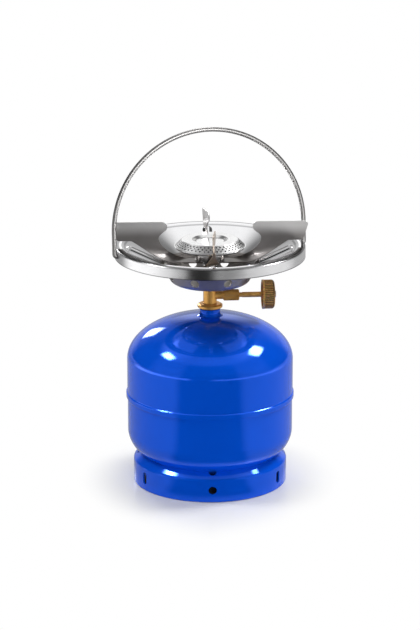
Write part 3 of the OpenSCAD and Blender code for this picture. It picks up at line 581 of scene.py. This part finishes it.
def bail_stations():
    """Centre, heading and radius along half of the bail's wire, from the peened pin to the top of the arc.

    Places are in the bail's plane: outwards along the pivots, and up from them. Headings are in radians.
    """
    peen_end = PIN_END + PEEN_LENGTH
    chamfered = PEEN_RADIUS - PEEN_CHAMFER
    pin = ((PIN_END, chamfered), (PIN_END + PEEN_CHAMFER, PEEN_RADIUS),
           (peen_end - PEEN_CHAMFER, PEEN_RADIUS), (peen_end, chamfered), (peen_end, WIRE_RADIUS))
    stations = [((x, 0.0), 0.0, radius) for x, radius in pin]
    for degrees in range(0, 91, BEND_STEP):
        a = math.radians(degrees)
        centre = (BAIL_X - WIRE_BEND + WIRE_BEND * math.sin(a), WIRE_BEND - WIRE_BEND * math.cos(a))
        stations.append((centre, a, WIRE_RADIUS))
    for step in range(ARC_STEPS + 1):
        a = math.radians(90.0 * step / ARC_STEPS)
        centre = (BAIL_X * math.cos(a), BAIL_LEG + BAIL_X * math.sin(a))
        stations.append((centre, a + math.pi / 2, WIRE_RADIUS))
    return stations


def make_bail():
    """The bail's wire swept finely round its bends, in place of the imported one."""
    half = bail_stations()
    other = [((-x, up), 2 * math.pi - heading, radius) for (x, up), heading, radius in reversed(half[:-1])]
    up_axis = Vector((0, math.sin(BAIL_LEAN), math.cos(BAIL_LEAN)))
    across = Vector((0, math.cos(BAIL_LEAN), -math.sin(BAIL_LEAN)))
    turns = [2 * math.pi * i / WIRE_SIDES for i in range(WIRE_SIDES)]
    work = bmesh.new()
    rings = []
    for (x, up), heading, radius in half + other:
        centre = Vector((x, 0, BAIL_PIVOT_Z)) + up * up_axis
        beside = Vector((math.sin(heading), 0, 0)) - math.cos(heading) * up_axis
        places = [centre + radius * (math.cos(a) * beside + math.sin(a) * across) for a in turns]
        rings.append([work.verts.new(place) for place in places])
    for first, second in zip(rings, rings[1:]):
        for i in range(WIRE_SIDES):
            j = (i + 1) % WIRE_SIDES
            work.faces.new((first[i], first[j], second[j], second[i]))
    work.faces.new(rings[0])
    work.faces.new(rings[-1])
    bmesh.ops.recalc_face_normals(work, faces=work.faces)
    piece = smooth_piece(work, bpy.data.meshes.new("bent_wire"), "wire_steel")
    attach(piece, "bail")
    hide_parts("bail_handle")
    return piece


def half_turn(stops):
    """Ramp stops given in degrees away from the camera on either side, as shares of half a turn."""
    return [(degrees / 180.0, value) for degrees, value in stops]


def full_turn(stops):
    """Ramp stops given in degrees round from the camera, as shares of a full turn."""
    return [((degrees + 180.0) / 360.0, value) for degrees, value in stops]


def make_world():
    """Studio for reflections and fill, while the camera sees white.

    The walls are dark by the camera, grey beside it, dark again and pale behind the stove. The ceiling is
    grey in front and pale behind.
    """
    world = bpy.data.worlds.new("studio")
    bpy.context.scene.world = world
    world.use_nodes = True
    graph = Graph(world.node_tree)
    graph.tree.nodes.clear()
    x, y, height = graph.split(graph.node("ShaderNodeTexCoord").outputs["Generated"])
    away = graph.share(graph.maths("ABSOLUTE", graph.view_angle(x, y)), 0.0, math.pi)
    foot, low, high, ceiling = (graph.ramp(away, half_turn(stops))
                                for stops in (WALL_FOOT, WALL_LOW, WALL_HIGH, CEILING))
    lower = graph.tint(graph.rise(height, *FOOT_TO_LOW), foot, low)
    wall = graph.tint(graph.rise(height, *LOW_TO_HIGH), lower, high)
    studio = graph.node("ShaderNodeBackground")
    graph.link(graph.tint(graph.rise(height, *HIGH_TO_CEILING), wall, ceiling), studio.inputs["Color"])
    white = graph.node("ShaderNodeBackground")
    white.inputs["Color"].default_value = (1, 1, 1, 1)
    mix = graph.node("ShaderNodeMixShader")
    graph.link(graph.node("ShaderNodeLightPath").outputs["Is Camera Ray"], mix.inputs["Fac"])
    graph.link(studio.outputs["Background"], mix.inputs[1])
    graph.link(white.outputs["Background"], mix.inputs[2])
    graph.link(mix.outputs["Shader"], graph.node("ShaderNodeOutputWorld").inputs["Surface"])


def make_floor():
    """A pale floor that fades to white for the camera, and mirrors in the metal as dark and white cards."""
    bpy.ops.mesh.primitive_circle_add(vertices=FLOOR_SIDES, radius=FLOOR_RADIUS, fill_type="NGON")
    floor = bpy.context.object
    floor.name = "floor"
    shader = Shader("floor", Roughness=0.35)
    x, y = shader.split(shader.place)[:2]
    radius = shader.length(x, y)
    # Painted shadow: the floor is near black within the foot ring.
    shader.feed("Base Color", shader.ramp(radius, FLOOR_SHADOW_SHADES))
    angle = shader.view_angle(x, y)
    turn = shader.share(angle, -math.pi, math.pi)
    near, far = (shader.ramp(turn, full_turn(stops)) for stops in (NEAR_CARDS, FAR_CARDS))
    reach = shader.product(shader.rise(radius, *FAR_START), shader.fall(radius, *FAR_END))
    cards = shader.node("ShaderNodeEmission")
    shader.link(shader.tint(reach, near, far), cards.inputs["Color"])
    path = shader.node("ShaderNodeLightPath")
    white = shader.node("ShaderNodeEmission")
    glow = shader.node("ShaderNodeMixShader")
    shader.link(path.outputs["Is Camera Ray"], glow.inputs["Fac"])
    shader.link(cards.outputs["Emission"], glow.inputs[1])
    shader.link(white.outputs["Emission"], glow.inputs[2])
    aside = shader.maths("ABSOLUTE", shader.maths("SINE", angle))
    wide = shader.product(radius, shader.maths("ADD", shader.product(aside, SHADOW_SIDES), 1.0))
    plain = shader.product(shader.rise(wide, *SHADOW_FADE), path.outputs["Is Camera Ray"])
    mirrored = shader.product(shader.rise(radius, *CARDS_START), path.outputs["Is Glossy Ray"])
    mix = shader.node("ShaderNodeMixShader")
    shader.link(shader.maths("MAXIMUM", plain, mirrored), mix.inputs["Fac"])
    shader.link(shader.surface.outputs["BSDF"], mix.inputs[1])
    shader.link(glow.outputs["Shader"], mix.inputs[2])
    shader.link(mix.outputs["Shader"], shader.tree.nodes["Material Output"].inputs["Surface"])
    floor.data.materials.append(shader.material)


def receivers(name, piece, state):
    """A collection that has a lamp light only that piece, or everything but it."""
    made = bpy.data.collections.new(name)
    made.objects.link(piece)
    made.collection_objects[0].light_linking.link_state = state
    return made


def softbox(name, azimuth, elevation, distance, size, watts, lit, mirrored=True):
    """Area lamp that faces the stove and fades to its edges, at an azimuth from the photograph's view."""
    data = bpy.data.lights.new(name, "AREA")
    data.shape = "RECTANGLE"
    data.size, data.size_y = size
    data.energy = watts
    data.use_nodes = True
    graph = Graph(data.node_tree)
    across, along = graph.split(graph.node("ShaderNodeNewGeometry").outputs["Parametric"])[:2]
    fade = graph.product(across, graph.maths("SUBTRACT", 1.0, across),
                         along, graph.maths("SUBTRACT", 1.0, along), FADE_GAIN)
    graph.link(fade, graph.tree.nodes["Emission"].inputs["Strength"])
    lamp = bpy.data.objects.new(name, data)
    bpy.context.scene.collection.objects.link(lamp)
    lamp.light_linking.receiver_collection = lit
    lamp.visible_glossy = mirrored
    lamp.visible_camera = False
    aim(lamp, VIEW_AZIMUTH + azimuth, elevation, distance, LAMP_AIM_Z)


def make_lights(bail):
    """Softboxes for the stove, and strips in front and behind for the bail's thin wire alone."""
    stove = receivers("all_but_bail", bail, "EXCLUDE")
    wire = receivers("bail_only", bail, "INCLUDE")
    softbox("right_softbox", azimuth=106, elevation=48, distance=1.6, size=(0.70, 0.45), watts=25, lit=stove)
    softbox("left_softbox", azimuth=-86, elevation=48, distance=1.6, size=(0.60, 0.35), watts=16, lit=stove)
    softbox("rear_softbox", azimuth=-154, elevation=21, distance=1.8, size=(0.35, 0.5), watts=6, lit=stove)
    softbox("front_fill", azimuth=9, elevation=17, distance=2.2, size=(1.6, 1.0), watts=23, lit=stove,
            mirrored=False)
    softbox("front_strip", azimuth=24, elevation=20, distance=1.6, size=(0.40, 1.2), watts=30, lit=wire)
    softbox("rear_strip", azimuth=180, elevation=45, distance=1.6, size=(0.40, 1.2), watts=16, lit=wire)


make_camera()
dress_frame()
even_copy("lower_pan_support", "stove", "support_steel")
even_copy("upper_pan_support", "stove", "support_steel")
bail_wire = make_bail()
make_world()
make_floor()
make_lights(bail_wire)

bpy.context.scene.view_settings.view_transform = "Standard"
